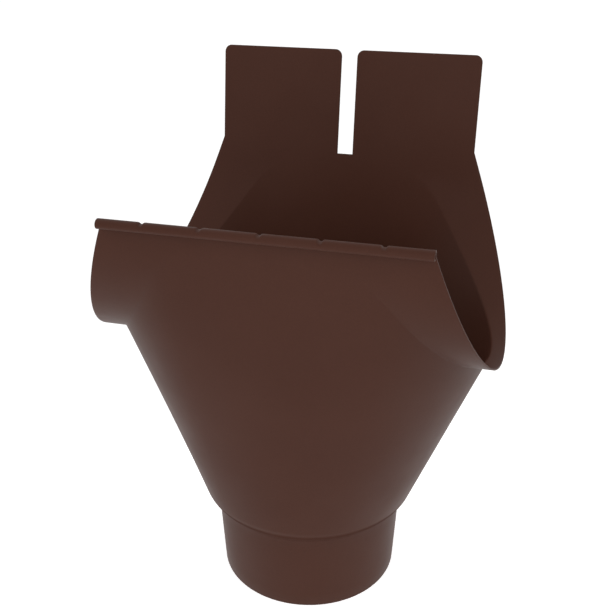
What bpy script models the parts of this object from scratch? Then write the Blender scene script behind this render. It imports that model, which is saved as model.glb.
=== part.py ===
# Downpipe hopper head for a half-round gutter: saddle trough, funnel and spigot
# pressed and seamed as one sheet of coated steel. Metres, +Z up.
# X runs along the gutter, -Y is the rolled front edge, +Y the two fold-over tabs.
import math

import bmesh
import bpy

# sheet
SHEET = 0.0007                # steel with its coating

# spigot, the round end that goes into the downpipe
SPIGOT_END_R = 0.0440         # outer radius at the open lower rim
SPIGOT_LENGTH = 0.0425
SPIGOT_TAPER = 0.053          # growth of the radius for the height above the rim

# shoulder, the rounded turn from the spigot out to the funnel
SHOULDER_R = 0.0110
SHOULDER_EXIT = math.radians(70.0)

# funnel, from the spigot's top up to the lowest line of the trough
FUNNEL_HEIGHT = 0.0869

# saddle trough that wraps the gutter
TROUGH_R = 0.0706             # middle of the sheet
RIM_HALF = 0.0650             # half length at the level of the trough axis
END_LEAN = math.radians(20.0)  # both end cuts slope outward below the axis

# mouth, the crease where the funnel opens out of the trough
MOUTH_END_STRIP = 0.0062      # trough left on the lowest line before each end cut
MOUTH_OVERREACH = 0.0114      # its plan ellipse would pass the trough wall by this
MOUTH_TOP_ANGLE = math.radians(84.0)  # wall angle that holds it back, 90 is the axis
MOUTH_BLEND = 22.0            # how sharply the ellipse gives way to the wall

# rolled front edge
BEAD_R = 0.0021
BEAD_RISE = 0.0008            # straight wall between trough axis and curl
BEAD_GAP = 0.0010             # clear of the wall at the curl's free edge
NICK_COUNT = 5
NICK_END_GAP = 0.0182         # from each end of the rim to the outermost nick
NICK_TOP = 0.0030             # width of a nick where it leaves the bead's top line
NICK_FLOOR = 0.0010
NICK_DEPTH = 0.0008           # how much lower the bead's top is there

# back wall and its two tabs
BACK_LEAN = math.radians(8.4)
TAB_HEIGHT = 0.0456           # above the trough axis
TAB_CORNER_R = 0.0034
SLOT_WIDTH = 0.0078
SLOT_DROP = 0.0050            # slot's floor below the trough axis

# coating
COAT_COLOR = (0.074, 0.033, 0.025, 1.0)
COAT_ROUGHNESS = 0.42

# facets, how finely the mouth is solved, and the least angle that stays sharp
END_STEPS = 30
TROUGH_RINGS = 5
CONE_RINGS = 4
SHOULDER_RINGS = 5
SPIGOT_RINGS = 2
BEAD_STEPS = 12
CORNER_STEPS = 3
TAB_STEPS = 8
TAB_ROWS = 4
GAP_STEPS = 3                 # columns of the bead between two nicks
HALVINGS = 60
NEAR_ZERO = 1e-9
SHARP_ANGLE = math.radians(32.0)

TROUGH_AXIS_Z = SPIGOT_LENGTH + FUNNEL_HEIGHT + TROUGH_R
SLOT_FLOOR_Z = TROUGH_AXIS_Z - SLOT_DROP
MOUTH_HALF_LENGTH = RIM_HALF + math.tan(END_LEAN) * TROUGH_R - MOUTH_END_STRIP
MOUTH_HALF_WIDTH = TROUGH_R + MOUTH_OVERREACH
MOUTH_LIMIT = TROUGH_R * math.sin(MOUTH_TOP_ANGLE)
BEAD_TURN = 2 * math.pi - math.acos(1 - (BEAD_GAP + SHEET) / BEAD_R)
BACK_ANGLE = math.pi / 2 - BACK_LEAN
BACK_ARC = TROUGH_R * BACK_ANGLE
FRONT_ARC = -TROUGH_R * math.pi / 2


def wall_point(x, arc):
    """Point of the trough wall: arc is measured from the lowest line, back is plus."""
    if arc <= BACK_ARC:
        a = arc / TROUGH_R
        return (x, TROUGH_R * math.sin(a), TROUGH_AXIS_Z - TROUGH_R * math.cos(a))
    rest = arc - BACK_ARC
    y = TROUGH_R * math.sin(BACK_ANGLE) + rest * math.sin(BACK_LEAN)
    z = TROUGH_AXIS_Z - TROUGH_R * math.cos(BACK_ANGLE) + rest * math.cos(BACK_LEAN)
    return (x, y, z)


def back_arc_at(z):
    """Arc length of the straight back wall at a height."""
    z_start = TROUGH_AXIS_Z - TROUGH_R * math.cos(BACK_ANGLE)
    return BACK_ARC + (z - z_start) / math.cos(BACK_LEAN)


def end_x(z):
    """Half length of the sheet at a height: the ends slope out below the axis."""
    return RIM_HALF + math.tan(END_LEAN) * max(TROUGH_AXIS_Z - z, 0.0)


def mouth_plan(t):
    """Plan outline of the mouth: an ellipse held inside the trough wall."""
    x = MOUTH_HALF_LENGTH * math.cos(t)
    y = max(MOUTH_HALF_WIDTH * abs(math.sin(t)), NEAR_ZERO)
    y = (y ** -MOUTH_BLEND + MOUTH_LIMIT ** -MOUTH_BLEND) ** (-1.0 / MOUTH_BLEND)
    return x, math.copysign(y, math.sin(t))


def mouth_at(azimuth):
    """Point of the mouth seen from the spigot axis in a given direction."""
    low, high = (0.0, math.pi) if azimuth >= 0 else (-math.pi, 0.0)
    for _ in range(HALVINGS):
        mid = (low + high) / 2
        x, y = mouth_plan(mid)
        if math.atan2(y, x) < azimuth:
            low = mid
        else:
            high = mid
    return mouth_plan((low + high) / 2)


def bead_columns():
    """Positions along the front edge, with four columns at every nick."""
    xs = [-RIM_HALF]
    first = -RIM_HALF + NICK_END_GAP
    pitch = -2 * first / (NICK_COUNT - 1)
    centres = [first + i * pitch for i in range(NICK_COUNT)]
    for c in centres:
        start = c - NICK_TOP / 2
        last = xs[-1]
        xs += [last + (start - last) * k / GAP_STEPS for k in range(1, GAP_STEPS)]
        xs += [start, c - NICK_FLOOR / 2, c + NICK_FLOOR / 2, c + NICK_TOP / 2]
    last = xs[-1]
    xs += [last + (RIM_HALF - last) * k / GAP_STEPS for k in range(1, GAP_STEPS + 1)]
    return xs, centres


def tab_columns():
    """Positions across one tab from slot to outer edge, with the corner drops."""
    inner = SLOT_WIDTH / 2
    cols = []
    for k in range(CORNER_STEPS):
        a = math.pi / 2 * k / CORNER_STEPS
        cols.append((inner + TAB_CORNER_R * (1 - math.cos(a)),
                     TAB_CORNER_R * (1 - math.sin(a))))
    left = inner + TAB_CORNER_R
    right = RIM_HALF - TAB_CORNER_R
    for k in range(TAB_STEPS + 1):
        cols.append((left + (right - left) * k / TAB_STEPS, 0.0))
    for k in range(CORNER_STEPS - 1, -1, -1):
        a = math.pi / 2 * k / CORNER_STEPS
        cols.append((RIM_HALF - TAB_CORNER_R * (1 - math.cos(a)),
                     TAB_CORNER_R * (1 - math.sin(a))))
    return cols


def spread(x, z):
    """Column position carried down to a height where the ends have run outward."""
    inner = SLOT_WIDTH / 2
    return inner + (x - inner) * (end_x(z) - inner) / (RIM_HALF - inner)


def bridge(bm, a, b):
    """Quads between two rows with the same number of vertices."""
    for i in range(len(a) - 1):
        bm.faces.new((a[i], a[i + 1], b[i + 1], b[i]))


def outer_loop(xs, tab):
    """Outer loop of the trough: front edge, right end, back line, left end."""
    floor_arc = back_arc_at(SLOT_FLOOR_Z)
    right_end = []
    for k in range(1, END_STEPS):
        arc = FRONT_ARC + (floor_arc - FRONT_ARC) * k / END_STEPS
        right_end.append((end_x(wall_point(0.0, arc)[2]), arc))
    back = [(spread(x, SLOT_FLOOR_Z), floor_arc) for x, _ in tab]
    loop = [(x, FRONT_ARC) for x in xs] + right_end + back[::-1]
    loop += [(-x, arc) for x, arc in back + right_end[::-1]]
    return loop


def mouth_loop(outer):
    """Mouth point in the same direction for every point of the outer loop."""
    loop = []
    for x, arc in outer:
        px, py, _ = wall_point(x, arc)
        mx, my = mouth_at(math.atan2(py, px))
        loop.append((mx, my, TROUGH_R * math.asin(my / TROUGH_R)))
    return loop


def trough_rings(bm, outer, mouth):
    """Rings on the trough wall, from its outer loop in to the mouth."""
    rings = []
    for j in range(TROUGH_RINGS + 1):
        t = j / TROUGH_RINGS
        rings.append([bm.verts.new(wall_point(x + (mx - x) * t, arc + (m_arc - arc) * t))
                      for (x, arc), (mx, _, m_arc) in zip(outer, mouth)])
    return rings


def funnel_rings(bm, mouth):
    """Rings below the mouth: straight lines to the rounded shoulder, then the spigot."""
    neck_r = SPIGOT_END_R + SPIGOT_TAPER * SPIGOT_LENGTH - SHEET / 2
    arc_r = neck_r - SHOULDER_R * math.cos(SHOULDER_EXIT)
    arc_z = SPIGOT_LENGTH + SHOULDER_R * math.sin(SHOULDER_EXIT)
    lines = []
    for mx, my, m_arc in mouth:
        mr, mz = math.hypot(mx, my), wall_point(mx, m_arc)[2]
        span = math.hypot(mr - arc_r, mz - arc_z)
        touch = math.atan2(mz - arc_z, mr - arc_r) - math.acos(SHOULDER_R / span)
        profile = []
        for j in range(1, CONE_RINGS + 1):
            t = j / CONE_RINGS
            profile.append((mr + (arc_r + SHOULDER_R * math.cos(touch) - mr) * t,
                            mz + (arc_z + SHOULDER_R * math.sin(touch) - mz) * t))
        for j in range(1, SHOULDER_RINGS + 1):
            g = touch - (SHOULDER_EXIT + touch) * j / SHOULDER_RINGS
            profile.append((arc_r + SHOULDER_R * math.cos(g),
                            arc_z + SHOULDER_R * math.sin(g)))
        for j in range(1, SPIGOT_RINGS + 1):
            z = SPIGOT_LENGTH * (1 - j / SPIGOT_RINGS)
            profile.append((neck_r - SPIGOT_TAPER * (SPIGOT_LENGTH - z), z))
        azimuth = math.atan2(my, mx)
        lines.append([bm.verts.new((r * math.cos(azimuth), r * math.sin(azimuth), z))
                      for r, z in profile])
    return [list(ring) for ring in zip(*lines)]


def add_bead(bm, row, xs, nicks):
    """Rolls the front edge outward and down, its upper half lower at the nicks."""
    pressed_reach = (NICK_TOP + NICK_FLOOR) / 4
    for j in range(BEAD_STEPS + 1):
        a = BEAD_TURN * j / BEAD_STEPS
        y = -TROUGH_R - BEAD_R + BEAD_R * math.cos(a)
        new = []
        for x in xs:
            height = BEAD_R
            if math.sin(a) > 0 and any(abs(x - c) < pressed_reach for c in nicks):
                height -= NICK_DEPTH
            new.append(bm.verts.new((x, y, TROUGH_AXIS_Z + BEAD_RISE + height * math.sin(a))))
        bridge(bm, row, new)
        row = new


def add_tab(bm, row, tab, side):
    """Raises one tab from the back line, side is 1 at the right and -1 at the left."""
    for j in range(TAB_ROWS + 1):
        new = []
        for x, drop in tab:
            z = TROUGH_AXIS_Z + (TAB_HEIGHT - drop) * j / TAB_ROWS
            new.append(bm.verts.new(wall_point(side * x, back_arc_at(z))))
        bridge(bm, row, new)
        row = new


def middle_surface():
    """Bmesh of the sheet's middle surface, open at its free edges."""
    bm = bmesh.new()
    xs, nicks = bead_columns()
    tab = tab_columns()
    outer = outer_loop(xs, tab)
    mouth = mouth_loop(outer)
    rings = trough_rings(bm, outer, mouth) + funnel_rings(bm, mouth)
    for a, b in zip(rings, rings[1:]):
        bridge(bm, a + a[:1], b + b[:1])

    edge = rings[0]
    right = len(xs) + END_STEPS - 1
    left = right + len(tab)
    add_bead(bm, edge[:len(xs)], xs, nicks)
    add_tab(bm, edge[right:left][::-1], tab, 1)
    add_tab(bm, edge[left:left + len(tab)], tab, -1)
    bmesh.ops.recalc_face_normals(bm, faces=bm.faces)
    return bm


def coated_steel():
    mat = bpy.data.materials.new("coated_steel_brown")
    mat.use_nodes = True
    bsdf = mat.node_tree.nodes["Principled BSDF"]
    bsdf.inputs["Base Color"].default_value = COAT_COLOR
    bsdf.inputs["Roughness"].default_value = COAT_ROUGHNESS
    bsdf.inputs["Metallic"].default_value = 0.0
    return mat


def build():
    for ob in list(bpy.data.objects):
        bpy.data.objects.remove(ob, do_unlink=True)

    bm = middle_surface()
    draft = bpy.data.meshes.new("sheet_middle")
    bm.to_mesh(draft)
    bm.free()
    ob = bpy.data.objects.new("hopper_head", draft)
    bpy.context.scene.collection.objects.link(ob)

    # the sheet's thickness, half to either side of the middle surface
    shell = ob.modifiers.new("sheet", "SOLIDIFY")
    shell.thickness = SHEET
    shell.offset = 0.0
    shell.use_even_offset = True
    shell.use_quality_normals = True
    shell.use_rim = True

    depsgraph = bpy.context.evaluated_depsgraph_get()
    solid = bpy.data.meshes.new_from_object(ob.evaluated_get(depsgraph))
    solid.name = "hopper_head"
    ob.modifiers.clear()
    ob.data = solid
    bpy.data.meshes.remove(draft)

    bm = bmesh.new()
    bm.from_mesh(solid)
    bmesh.ops.triangulate(bm, faces=bm.faces)
    bmesh.ops.recalc_face_normals(bm, faces=bm.faces)
    for v in bm.verts:
        if v.co.z < SHEET / 2:
            v.co.z = 0.0        # the lower rim is cut level
    bm.to_mesh(solid)
    bm.free()
    solid.polygons.foreach_set("use_smooth", [True] * len(solid.polygons))
    solid.set_sharp_from_angle(angle=SHARP_ANGLE)
    solid.materials.clear()
    solid.materials.append(coated_steel())


build()
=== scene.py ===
import math

import bmesh
import bpy
from mathutils import Euler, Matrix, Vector


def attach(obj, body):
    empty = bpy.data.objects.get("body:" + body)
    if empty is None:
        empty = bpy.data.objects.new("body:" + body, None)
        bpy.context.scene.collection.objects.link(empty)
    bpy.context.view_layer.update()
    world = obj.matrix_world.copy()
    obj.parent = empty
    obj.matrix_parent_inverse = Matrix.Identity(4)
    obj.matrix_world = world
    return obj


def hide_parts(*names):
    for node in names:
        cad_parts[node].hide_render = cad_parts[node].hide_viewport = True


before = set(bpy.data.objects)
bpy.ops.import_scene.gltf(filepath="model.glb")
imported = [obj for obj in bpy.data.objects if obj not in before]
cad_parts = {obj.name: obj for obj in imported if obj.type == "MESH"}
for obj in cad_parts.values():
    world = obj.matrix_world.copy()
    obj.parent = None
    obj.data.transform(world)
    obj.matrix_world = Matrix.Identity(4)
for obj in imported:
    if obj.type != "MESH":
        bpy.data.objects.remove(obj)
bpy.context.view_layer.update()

# Sizes in metres and radians, as in the part's own source.
SHEET = 0.0007                # steel with its coating
SPIGOT_END_R = 0.0440         # outer radius at the open lower rim
SPIGOT_LENGTH = 0.0425
SPIGOT_TAPER = 0.053          # growth of the radius for the height above the rim
SHOULDER_R = 0.0110
SHOULDER_EXIT = math.radians(70.0)
FUNNEL_HEIGHT = 0.0869        # from the spigot's top to the lowest line of the trough
TROUGH_R = 0.0706             # middle of the sheet
RIM_HALF = 0.0650             # half length at the level of the trough axis
END_LEAN = math.radians(20.0)  # both end cuts slope outward below the axis
MOUTH_END_STRIP = 0.0062      # trough left on the lowest line before each end cut
MOUTH_OVERREACH = 0.0114      # its plan ellipse would pass the trough wall by this
MOUTH_TOP_ANGLE = math.radians(84.0)  # wall angle that holds it back, 90 is the axis
MOUTH_BLEND = 22.0            # how sharply the ellipse gives way to the wall
BEAD_R = 0.0021
BEAD_RISE = 0.0008            # straight wall between trough axis and curl
BEAD_GAP = 0.0010             # clear of the wall at the curl's free edge
NICK_COUNT = 5
NICK_END_GAP = 0.0182         # from each end of the rim to the outermost nick
NICK_TOP = 0.0030             # width of a nick where it leaves the bead's top line
NICK_FLOOR = 0.0010
NICK_DEPTH = 0.0008           # how much lower the bead's top is there
BACK_LEAN = math.radians(8.4)
TAB_HEIGHT = 0.0456           # above the trough axis
TAB_CORNER_R = 0.0034
SLOT_WIDTH = 0.0078
SLOT_DROP = 0.0050            # slot's floor below the trough axis

# The visible curl is flatter than the part's round one, with its top as high.
BEAD_HALF_HEIGHT = 0.0017

# Small rounds that only the visible surface has.
CREASE_FILLET = 0.0006        # reach along the trough from the mouth's crease
NECK_FILLET = 0.0005
EDGE_ROUND = 0.00030          # on the sheet's cut edges
EDGE_SEGMENTS = 3
EDGE_ANGLE = math.radians(60.0)
SHARP_ANGLE = math.radians(40.0)  # least angle that is shaded as an edge

# Fineness of the visible surface, and how finely the mouth is solved.
END_STEPS = 84
TROUGH_RINGS = 10
CONE_RINGS = 10
FILLET_STEPS = 4
SHOULDER_RINGS = 12
SPIGOT_RINGS = 6
BEAD_STEPS = 34
CORNER_STEPS = 8
TAB_STEPS = 22
TAB_ROWS = 10
GAP_STEPS = 8                 # columns of the bead between two nicks
NICK_STEPS = 5                # columns on each slope of a nick
NICK_FLOOR_STEPS = 2
HALVINGS = 50
NEAR_ZERO = 1e-9

# Coating: the noise fields, what they drive, and how strongly.
TONE_NOISE = {"Scale": 18.0, "Detail": 4.0, "Roughness": 0.55}
TONE_STOPS = ((0.30, (0.0508, 0.0174, 0.0104, 1.0)), (0.72, (0.0564, 0.0201, 0.0124, 1.0)))
GRAIN_NOISE = {"Scale": 1400.0, "Detail": 2.0, "Roughness": 0.6}
GRAIN_TO_SHADE = {"From_Min": 0.30, "From_Max": 0.70, "To_Min": 0.94, "To_Max": 1.06}
GRAIN_BUMP = {"Strength": 0.05, "Distance": 0.0001}
PATCH_NOISE = {"Scale": 45.0, "Detail": 3.0, "Roughness": 0.5}
PATCH_TO_ROUGHNESS = {"From_Min": 0.25, "From_Max": 0.75, "To_Min": 0.45, "To_Max": 0.53}
PEEL_NOISE = {"Scale": 420.0, "Detail": 3.0, "Roughness": 0.5}
PEEL_BUMP = {"Strength": 0.06, "Distance": 0.0003}
COAT_IOR = 1.20

# Hollow under the shoulder, where the coating is duller and where painted shade makes its
# colour a little darker.
HOLLOW_RISE = 0.0026          # its middle above the spigot's top
HOLLOW_FULL = 0.0025          # full effect within this height of the middle
HOLLOW_END = 0.0045
HOLLOW_ROUGHER = 0.50
# painted shade: how much darker the colour is made in the hollow
HOLLOW_PAINTED_SHADE = 0.14

# Camera of the photograph, in metres and radians.
CAMERA_PLACE = (0.09659, -0.36414, 0.31751)
CAMERA_AZIMUTH = 0.261
CAMERA_ELEVATION = 0.440
CAMERA_FOCAL_PX = 890.7
PHOTO_PX = 616
SENSOR_MM = 36.0
CLIP_NEAR = 0.01
CLIP_FAR = 50.0

# Studio: a white world, one weak light low in front, and a pale floor that glows.
WHITE = (1.0, 1.0, 1.0, 1.0)
WORLD_STRENGTH = 1.0
LIGHT_PLACE = (0.1, -0.9, 0.30)
LIGHT_AIM = (0.0, 0.0, 0.06)
LIGHT_SIZE = 0.5
LIGHT_WATTS = 0.77
FLOOR_HALF = 3.0
FLOOR_COLOR = (0.95, 0.95, 0.95, 1.0)
FLOOR_ROUGHNESS = 0.9
FLOOR_SPECULAR = 0.1
FLOOR_GLOW = {"From_Min": 0.08, "To_Min": 0.56, "From_Max": 0.35, "To_Max": 0.12}

TROUGH_AXIS_Z = SPIGOT_LENGTH + FUNNEL_HEIGHT + TROUGH_R
TAB_TOP_Z = TROUGH_AXIS_Z + TAB_HEIGHT
SLOT_FLOOR_Z = TROUGH_AXIS_Z - SLOT_DROP
NECK_R = SPIGOT_END_R + SPIGOT_TAPER * SPIGOT_LENGTH - SHEET / 2
SHOULDER_AXIS_R = NECK_R - SHOULDER_R * math.cos(SHOULDER_EXIT)
SHOULDER_AXIS_Z = SPIGOT_LENGTH + SHOULDER_R * math.sin(SHOULDER_EXIT)
MOUTH_HALF_LENGTH = RIM_HALF + math.tan(END_LEAN) * TROUGH_R - MOUTH_END_STRIP
MOUTH_HALF_WIDTH = TROUGH_R + MOUTH_OVERREACH
MOUTH_LIMIT = TROUGH_R * math.sin(MOUTH_TOP_ANGLE)
BEAD_TURN = 2 * math.pi - math.acos(1 - (BEAD_GAP + SHEET) / BEAD_R)
BACK_ANGLE = math.pi / 2 - BACK_LEAN
BACK_ARC = TROUGH_R * BACK_ANGLE
FRONT_ARC = -TROUGH_R * math.pi / 2
HOLLOW_Z = SPIGOT_LENGTH + HOLLOW_RISE


def wall_point(x, arc):
    """Place on the trough wall at an arc length from its lowest line, positive to the back."""
    if arc <= BACK_ARC:
        a = arc / TROUGH_R
        return Vector((x, TROUGH_R * math.sin(a), TROUGH_AXIS_Z - TROUGH_R * math.cos(a)))
    rest = arc - BACK_ARC
    return Vector((x, TROUGH_R * math.sin(BACK_ANGLE) + rest * math.sin(BACK_LEAN),
                   TROUGH_AXIS_Z - TROUGH_R * math.cos(BACK_ANGLE)
                   + rest * math.cos(BACK_LEAN)))


def back_arc_at(z):
    """Arc length at a height on the straight back wall."""
    z_start = TROUGH_AXIS_Z - TROUGH_R * math.cos(BACK_ANGLE)
    return BACK_ARC + (z - z_start) / math.cos(BACK_LEAN)


def end_x(z):
    """Half length of the trough between its end cuts, at a height."""
    return RIM_HALF + math.tan(END_LEAN) * max(TROUGH_AXIS_Z - z, 0.0)


def mouth_plan(t):
    """Point of the mouth's crease seen from above: an ellipse held back by the wall."""
    x = MOUTH_HALF_LENGTH * math.cos(t)
    y = max(MOUTH_HALF_WIDTH * abs(math.sin(t)), NEAR_ZERO)
    y = (y ** -MOUTH_BLEND + MOUTH_LIMIT ** -MOUTH_BLEND) ** (-1.0 / MOUTH_BLEND)
    return x, math.copysign(y, math.sin(t))


def mouth_at(azimuth):
    """Point of the mouth's crease in a direction from the spigot's axis."""
    low, high = (0.0, math.pi) if azimuth >= 0 else (-math.pi, 0.0)
    for _ in range(HALVINGS):
        mid = (low + high) / 2
        x, y = mouth_plan(mid)
        if math.atan2(y, x) < azimuth:
            low = mid
        else:
            high = mid
    return mouth_plan((low + high) / 2)


def bead_columns():
    """Places along the front edge, closer together at the nicks, and the nicks' centres."""
    xs = [-RIM_HALF]
    first = -RIM_HALF + NICK_END_GAP
    pitch = -2 * first / (NICK_COUNT - 1)
    centres = [first + i * pitch for i in range(NICK_COUNT)]
    for c in centres:
        stops = ((c - NICK_TOP / 2, GAP_STEPS), (c - NICK_FLOOR / 2, NICK_STEPS),
                 (c + NICK_FLOOR / 2, NICK_FLOOR_STEPS), (c + NICK_TOP / 2, NICK_STEPS))
        for stop, steps in stops:
            last = xs[-1]
            xs += [last + (stop - last) * k / steps for k in range(1, steps + 1)]
    last = xs[-1]
    xs += [last + (RIM_HALF - last) * k / GAP_STEPS for k in range(1, GAP_STEPS + 1)]
    return xs, centres


def nick_depth(x, centres):
    """How far the bead's top is pressed down at a place along the edge."""
    off = min(abs(x - c) for c in centres)
    t = (NICK_TOP / 2 - off) / (NICK_TOP / 2 - NICK_FLOOR / 2)
    t = min(max(t, 0.0), 1.0)
    return NICK_DEPTH * t * t * (3 - 2 * t)


def tab_columns():
    """Places across the right tab, each with how far the rounded top is lower there."""
    inner = SLOT_WIDTH / 2
    corner = [(TAB_CORNER_R * (1 - math.cos(a)), TAB_CORNER_R * (1 - math.sin(a)))
              for a in (math.pi / 2 * k / CORNER_STEPS for k in range(CORNER_STEPS))]
    left, right = inner + TAB_CORNER_R, RIM_HALF - TAB_CORNER_R
    cols = [(inner + dx, dz) for dx, dz in corner]
    cols += [(left + (right - left) * k / TAB_STEPS, 0.0) for k in range(TAB_STEPS + 1)]
    cols += [(RIM_HALF - dx, dz) for dx, dz in corner[::-1]]
    return cols


def spread(x, z):
    """A place across the tab, moved out to where the trough is longer."""
    inner = SLOT_WIDTH / 2
    return inner + (x - inner) * (end_x(z) - inner) / (RIM_HALF - inner)


def rounded(corner, before, after, reach):
    """Points of a small rounding at a corner of a line from before to after."""
    a = corner + (before - corner).normalized() * reach
    b = corner + (after - corner).normalized() * reach
    pts = []
    for k in range(FILLET_STEPS + 1):
        t = k / FILLET_STEPS
        pts.append(a * (1 - t) ** 2 + corner * 2 * t * (1 - t) + b * t * t)
    return pts


def outer_loop(xs, tab):
    """The trough's free edge as places and arc lengths, from the front left and back to it."""
    floor_arc = back_arc_at(SLOT_FLOOR_Z)
    front = [(x, FRONT_ARC) for x in xs]
    right_end = []
    for k in range(1, END_STEPS):
        arc = FRONT_ARC + (floor_arc - FRONT_ARC) * k / END_STEPS
        right_end.append((end_x(wall_point(0.0, arc).z), arc))
    right_tab = [(spread(x, SLOT_FLOOR_Z), floor_arc) for x, _ in tab]
    left_tab = [(-x, arc) for x, arc in right_tab]
    left_end = [(-x, arc) for x, arc in right_end[::-1]]
    return front + right_end + right_tab[::-1] + left_tab + left_end


def generator_line(outer, mouth):
    """One line of the middle surface, from the trough's free edge to the lower rim."""
    x, arc = outer
    mx, my = mouth
    m_arc = TROUGH_R * math.asin(my / TROUGH_R)
    azimuth = math.atan2(my, mx)

    def at(r, z):
        return Vector((r * math.cos(azimuth), r * math.sin(azimuth), z))

    def on_shoulder(angle):
        return at(SHOULDER_AXIS_R + SHOULDER_R * math.cos(angle),
                  SHOULDER_AXIS_Z + SHOULDER_R * math.sin(angle))

    # where the straight line from the crease touches the shoulder's round
    corner = wall_point(mx, m_arc)
    dr = math.hypot(mx, my) - SHOULDER_AXIS_R
    dz = corner.z - SHOULDER_AXIS_Z
    touch = math.atan2(dz, dr) - math.acos(SHOULDER_R / math.hypot(dr, dz))
    foot = on_shoulder(touch)

    cut = CREASE_FILLET / math.hypot(mx - x, m_arc - arc)
    pts = [wall_point(x + (mx - x) * t, arc + (m_arc - arc) * t)
           for t in ((1 - cut) * k / TROUGH_RINGS for k in range(TROUGH_RINGS))]
    near = wall_point(x + (mx - x) * (1 - cut), arc + (m_arc - arc) * (1 - cut))
    crease = rounded(corner, near, foot, (near - corner).length)
    pts += crease
    pts += [crease[-1].lerp(foot, k / CONE_RINGS) for k in range(1, CONE_RINGS)]
    turn = -SHOULDER_EXIT - touch
    pts += [on_shoulder(touch + turn * k / SHOULDER_RINGS) for k in range(SHOULDER_RINGS)]
    rim = at(NECK_R - SPIGOT_TAPER * SPIGOT_LENGTH, 0.0)
    neck = rounded(at(NECK_R, SPIGOT_LENGTH), pts[-1], rim, NECK_FILLET)
    pts += neck
    pts += [neck[-1].lerp(rim, k / SPIGOT_RINGS) for k in range(1, SPIGOT_RINGS + 1)]
    return pts


def add_walls(bm, outer):
    """Trough, funnel, shoulder and spigot, line beside line all the way round."""
    lines = []
    for x, arc in outer:
        p = wall_point(x, arc)
        mouth = mouth_at(math.atan2(p.y, p.x))
        lines.append([bm.verts.new(q) for q in generator_line((x, arc), mouth)])
    for i, a in enumerate(lines):
        b = lines[(i + 1) % len(lines)]
        for k in range(len(a) - 1):
            bm.faces.new((a[k], b[k], b[k + 1], a[k + 1]))
    return lines


def add_bead(bm, row, xs, nicks):
    """The rolled front edge, row by row round its curl."""
    bead_y = -TROUGH_R - BEAD_R
    bead_z = TROUGH_AXIS_Z + BEAD_RISE + BEAD_R - BEAD_HALF_HEIGHT
    for j in range(BEAD_STEPS + 1):
        a = BEAD_TURN * j / BEAD_STEPS
        new = []
        for x in xs:
            height = BEAD_HALF_HEIGHT - (nick_depth(x, nicks) if math.sin(a) > 0 else 0.0)
            new.append(bm.verts.new((x, bead_y + BEAD_R * math.cos(a),
                                     bead_z + height * math.sin(a))))
        for i in range(len(xs) - 1):
            bm.faces.new((row[i], new[i], new[i + 1], row[i + 1]))
        row = new


def add_tab(bm, row, tab, side):
    """One tab, row by row up from the slot's floor; side is 1 on the right, -1 on the left."""
    for j in range(TAB_ROWS + 1):
        new = []
        for x, drop in tab:
            top = TAB_TOP_Z - drop
            z = TROUGH_AXIS_Z + (top - TROUGH_AXIS_Z) * j / TAB_ROWS
            new.append(bm.verts.new(wall_point(side * x, back_arc_at(z))))
        for i in range(len(tab) - 1):
            quad = (row[i], row[i + 1], new[i + 1], new[i])
            bm.faces.new(quad if side > 0 else quad[::-1])
        row = new


def middle_surface():
    bm = bmesh.new()
    xs, nicks = bead_columns()
    tab = tab_columns()
    lines = add_walls(bm, outer_loop(xs, tab))
    edge = [line[0] for line in lines]
    add_bead(bm, edge[:len(xs)], xs, nicks)
    start, width = len(xs) + END_STEPS - 1, len(tab)
    add_tab(bm, edge[start:start + width][::-1], tab, 1)
    add_tab(bm, edge[start + width:start + 2 * width], tab, -1)
    bmesh.ops.recalc_face_normals(bm, faces=bm.faces)
    return bm


def make_body(material):
    """The sheet with its thickness and rounded cut edges."""
    bm = middle_surface()
    mesh = bpy.data.meshes.new("hopper_head_sheet")
    bm.to_mesh(mesh)
    bm.free()
    ob = bpy.data.objects.new("hopper_head_sheet", mesh)
    bpy.context.scene.collection.objects.link(ob)
    shell = ob.modifiers.new("sheet", "SOLIDIFY")
    shell.thickness = SHEET
    shell.offset = 0.0
    shell.use_even_offset = True
    shell.use_quality_normals = True
    edge = ob.modifiers.new("cut_edge", "BEVEL")
    edge.width = EDGE_ROUND
    edge.segments = EDGE_SEGMENTS
    edge.limit_method = "ANGLE"
    edge.angle_limit = EDGE_ANGLE
    solid = bpy.data.meshes.new_from_object(
        ob.evaluated_get(bpy.context.evaluated_depsgraph_get()))
    ob.modifiers.clear()
    ob.data = solid

    # the tapered spigot's rim is cut level
    for v in solid.vertices:
        if v.co.z < 0.0:
            v.co.z = 0.0
    solid.polygons.foreach_set("use_smooth", [True] * len(solid.polygons))
    solid.set_sharp_from_angle(angle=SHARP_ANGLE)
    solid.materials.clear()
    solid.materials.append(material)
    return ob


class Nodes:
    """Short way to lay out a material's node tree."""

    def __init__(self, name):
        self.mat = bpy.data.materials.new(name)
        self.mat.use_nodes = True
        self.tree = self.mat.node_tree
        self.bsdf = self.tree.nodes["Principled BSDF"]

    def feed(self, node, **inputs):
        """Set a node's inputs, each to a value or to another node's output."""
        for key, value in inputs.items():
            self.join(value, node.inputs[key.replace("_", " ")])

    def join(self, value, socket):
        if isinstance(value, bpy.types.NodeSocket):
            self.tree.links.new(value, socket)
        else:
            socket.default_value = value

    def add(self, kind, operation=None, **inputs):
        node = self.tree.nodes.new(kind)
        if operation:
            node.operation = operation
        self.feed(node, **inputs)
        return node

    def math(self, operation, *values):
        node = self.add("ShaderNodeMath", operation)
        for value, socket in zip(values, node.inputs):
            self.join(value, socket)
        return node.outputs["Value"]


def shade_and_dull_mask(n, coord):
    """Mask of the painted shade and the duller coating: 1 in the hollow under the shoulder, 0
    away from it.
    """
    axes = n.add("ShaderNodeSeparateXYZ", Vector=coord)
    away = n.math("ABSOLUTE", n.math("SUBTRACT", axes.outputs["Z"], HOLLOW_Z))
    ring = n.add("ShaderNodeMapRange", Value=away, From_Min=HOLLOW_FULL,
                 From_Max=HOLLOW_END, To_Min=1.0, To_Max=0.0)
    return ring.outputs["Result"]


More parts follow.
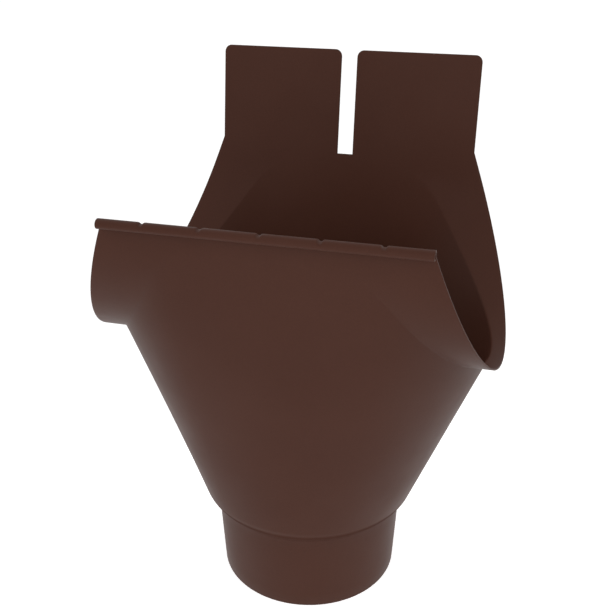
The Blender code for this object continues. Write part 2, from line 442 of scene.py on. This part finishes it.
def coated_steel():
    n = Nodes("coated_steel_brown")
    coord = n.add("ShaderNodeTexCoord").outputs["Object"]
    shade_and_dull = shade_and_dull_mask(n, coord)

    # slow drift of the coating's tone, with a fine grain, and painted shade that darkens the
    # hollow under the shoulder
    drift = n.add("ShaderNodeTexNoise", Vector=coord, **TONE_NOISE)
    tone = n.add("ShaderNodeValToRGB", Fac=drift.outputs["Fac"])
    for i, (position, color) in enumerate(TONE_STOPS):
        tone.color_ramp.elements[i].position = position
        tone.color_ramp.elements[i].color = color
    grain = n.add("ShaderNodeTexNoise", Vector=coord, **GRAIN_NOISE)
    fleck = n.add("ShaderNodeMapRange", Value=grain.outputs["Fac"], **GRAIN_TO_SHADE)
    # painted shade: the colour is made darker in the hollow under the shoulder
    shade = n.math("MULTIPLY", fleck.outputs["Result"],
                   n.math("MULTIPLY_ADD", shade_and_dull, -HOLLOW_PAINTED_SHADE, 1.0))
    color = n.add("ShaderNodeVectorMath", "SCALE", Vector=tone.outputs["Color"], Scale=shade)

    # satin, with slightly shinier and duller patches, and dull in the hollow
    patch = n.add("ShaderNodeTexNoise", Vector=coord, **PATCH_NOISE)
    rough = n.add("ShaderNodeMapRange", Value=patch.outputs["Fac"], **PATCH_TO_ROUGHNESS)

    # the coating's orange peel, and the fine grain on it
    peel = n.add("ShaderNodeTexNoise", Vector=coord, **PEEL_NOISE)
    waves = n.add("ShaderNodeBump", Height=peel.outputs["Fac"], **PEEL_BUMP)
    bump = n.add("ShaderNodeBump", Height=grain.outputs["Fac"],
                 Normal=waves.outputs["Normal"], **GRAIN_BUMP)

    n.feed(n.bsdf, Base_Color=color.outputs["Vector"],
           Roughness=n.math("MULTIPLY_ADD", shade_and_dull, HOLLOW_ROUGHER, rough.outputs["Result"]),
           Normal=bump.outputs["Normal"], Metallic=0.0, IOR=COAT_IOR)
    return n.mat


def glowing_floor():
    """Lit from below, most under the object, so that the object casts no dark pool."""
    n = Nodes("studio_floor_white")
    coord = n.add("ShaderNodeTexCoord").outputs["Object"]
    away = n.add("ShaderNodeVectorMath", "LENGTH", Vector=coord)
    glow = n.add("ShaderNodeMapRange", Value=away.outputs["Value"], **FLOOR_GLOW)
    n.feed(n.bsdf, Base_Color=FLOOR_COLOR, Roughness=FLOOR_ROUGHNESS,
           Specular_IOR_Level=FLOOR_SPECULAR, Emission_Color=WHITE,
           Emission_Strength=glow.outputs["Result"])
    return n.mat


def make_floor():
    corners = [(-FLOOR_HALF, -FLOOR_HALF, 0.0), (FLOOR_HALF, -FLOOR_HALF, 0.0),
               (FLOOR_HALF, FLOOR_HALF, 0.0), (-FLOOR_HALF, FLOOR_HALF, 0.0)]
    mesh = bpy.data.meshes.new("studio_floor")
    mesh.from_pydata(corners, [], [(0, 1, 2, 3)])
    mesh.materials.append(glowing_floor())
    floor = bpy.data.objects.new("studio_floor", mesh)
    bpy.context.scene.collection.objects.link(floor)


def make_light():
    data = bpy.data.lights.new("low_front", "AREA")
    data.shape = "SQUARE"
    data.size = LIGHT_SIZE
    data.energy = LIGHT_WATTS
    ob = bpy.data.objects.new("low_front", data)
    ob.location = LIGHT_PLACE
    ob.rotation_mode = "QUATERNION"
    ob.rotation_quaternion = (Vector(LIGHT_AIM) - Vector(LIGHT_PLACE)).to_track_quat("-Z", "Y")
    bpy.context.scene.collection.objects.link(ob)


def make_studio():
    world = bpy.data.worlds.new("studio_white")
    world.use_nodes = True
    background = world.node_tree.nodes["Background"]
    background.inputs["Color"].default_value = WHITE
    background.inputs["Strength"].default_value = WORLD_STRENGTH
    bpy.context.scene.world = world
    make_light()
    make_floor()
    bpy.context.scene.view_settings.view_transform = "Standard"


def make_camera():
    data = bpy.data.cameras.new("photo_camera")
    data.sensor_width = SENSOR_MM
    data.lens = CAMERA_FOCAL_PX / PHOTO_PX * SENSOR_MM
    data.clip_start = CLIP_NEAR
    data.clip_end = CLIP_FAR
    cam = bpy.data.objects.new("photo_camera", data)
    cam.location = CAMERA_PLACE
    cam.rotation_euler = Euler((math.pi / 2 - CAMERA_ELEVATION, 0.0, CAMERA_AZIMUTH))
    bpy.context.scene.collection.objects.link(cam)
    bpy.context.scene.camera = cam


make_camera()
make_studio()
body = make_body(coated_steel())
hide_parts("hopper_head")
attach(body, "root")
